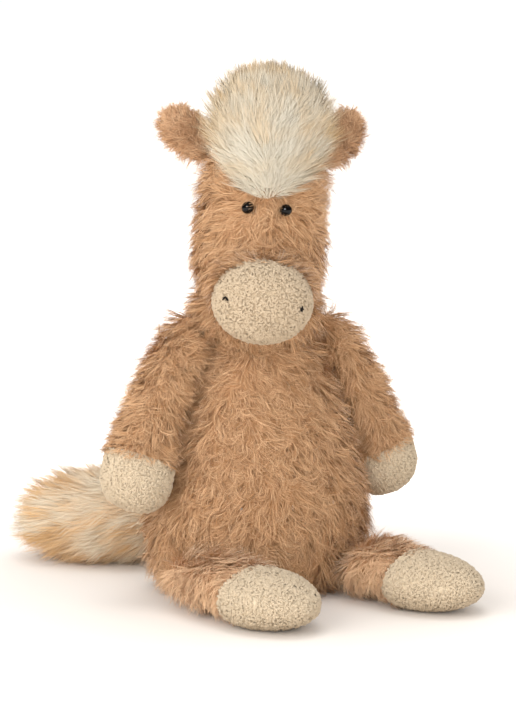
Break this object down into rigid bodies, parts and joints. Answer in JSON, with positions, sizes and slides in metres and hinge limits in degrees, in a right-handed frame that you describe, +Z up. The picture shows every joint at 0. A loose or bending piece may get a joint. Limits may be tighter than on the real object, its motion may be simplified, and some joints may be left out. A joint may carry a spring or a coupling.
{
  "type": "plush horse",
  "caption": "Sitting plush horse in wavy caramel fur with a cream looped muzzle, hands and feet and a pale cream mane and tail.",
  "frame": {"origin": "middle of the body's flat seat, on the surface that the toy sits on", "axes": "+Z up, -Y the way the body faces, +X to the toy's own left"},
  "size_m": [0.1924, 0.2566, 0.2857],
  "materials": {
    "tan_fur": "matte",
    "cream_loop": "matte",
    "cream_pile": "matte",
    "stuffing": "matte",
    "pellets": "matte",
    "black_gloss": "polished",
    "white_plastic": "matte"
  },
  "bodies": {
    "torso": {"body_cover": "tan_fur", "body_stuffing": "stuffing", "pellet_bag": "pellets"},
    "neck": {"neck_stuffing": "stuffing"},
    "head": {"head_cover": "tan_fur", "head_stuffing": "stuffing", "muzzle_cover": "cream_loop", "mane": "cream_pile", "eye_right": "black_gloss", "eye_washer_right": "white_plastic", "eye_left": "black_gloss", "eye_washer_left": "white_plastic"},
    "ear_right": {"ear_right": "tan_fur"},
    "ear_left": {"ear_left": "tan_fur"},
    "tail": {"tail": "cream_pile"},
    "arm_right": {"arm_right_cover": "tan_fur", "arm_right_stuffing": "stuffing", "hand_right_cover": "cream_loop"},
    "arm_left": {"arm_left_cover": "tan_fur", "arm_left_stuffing": "stuffing", "hand_left_cover": "cream_loop"},
    "leg_right": {"leg_right_cover": "tan_fur", "leg_right_stuffing": "stuffing", "foot_right_cover": "cream_loop"},
    "leg_left": {"leg_left_cover": "tan_fur", "leg_left_stuffing": "stuffing", "foot_left_cover": "cream_loop"}
  },
  "joints": [
    {"name": "neck_turn", "type": "hinge", "parent": "torso", "child": "neck", "pos_m": [-0.002, 0, 0.153], "axis": [0, 0, 1], "range_deg": [-30, 60], "stiffness_Nm_per_rad": 0.3},
    {"name": "head_nod", "type": "hinge", "parent": "neck", "child": "head", "pos_m": [-0.002, 0, 0.153], "axis": [0.9313, -0.3575, -0.0698], "range_deg": [-20, 9], "stiffness_Nm_per_rad": 0.3},
    {"name": "arm_right_swing", "type": "hinge", "parent": "torso", "child": "arm_right", "pos_m": [-0.042, 0, 0.1475], "axis": [1, 0, 0], "range_deg": [-71, 34]},
    {"name": "arm_left_swing", "type": "hinge", "parent": "torso", "child": "arm_left", "pos_m": [0.042, 0, 0.145], "axis": [1, 0, 0], "range_deg": [-80, 25]},
    {"name": "leg_right_swing", "type": "hinge", "parent": "torso", "child": "leg_right", "pos_m": [-0.0505, -0.031, 0.018], "axis": [1, 0, 0], "range_deg": [-35, 75]},
    {"name": "leg_left_swing", "type": "hinge", "parent": "torso", "child": "leg_left", "pos_m": [0.0405, -0.031, 0.018], "axis": [1, 0, 0], "range_deg": [-35, 75]},
    {"name": "tail_swing", "type": "hinge", "parent": "torso", "child": "tail", "pos_m": [0, 0.05, 0.033], "axis": [0, 0, 1], "range_deg": [-105, 12]},
    {"name": "ear_right_flop", "type": "hinge", "parent": "head", "child": "ear_right", "pos_m": [-0.02527, 0.01308, 0.24013], "axis": [0.3584, 0.9336, 0], "range_deg": [-35, 15], "stiffness_Nm_per_rad": 0.02},
    {"name": "ear_left_flop", "type": "hinge", "parent": "head", "child": "ear_left", "pos_m": [0.03513, -0.0101, 0.23561], "axis": [-0.3584, -0.9336, 0], "range_deg": [-35, 15], "stiffness_Nm_per_rad": 0.02}
  ]
}
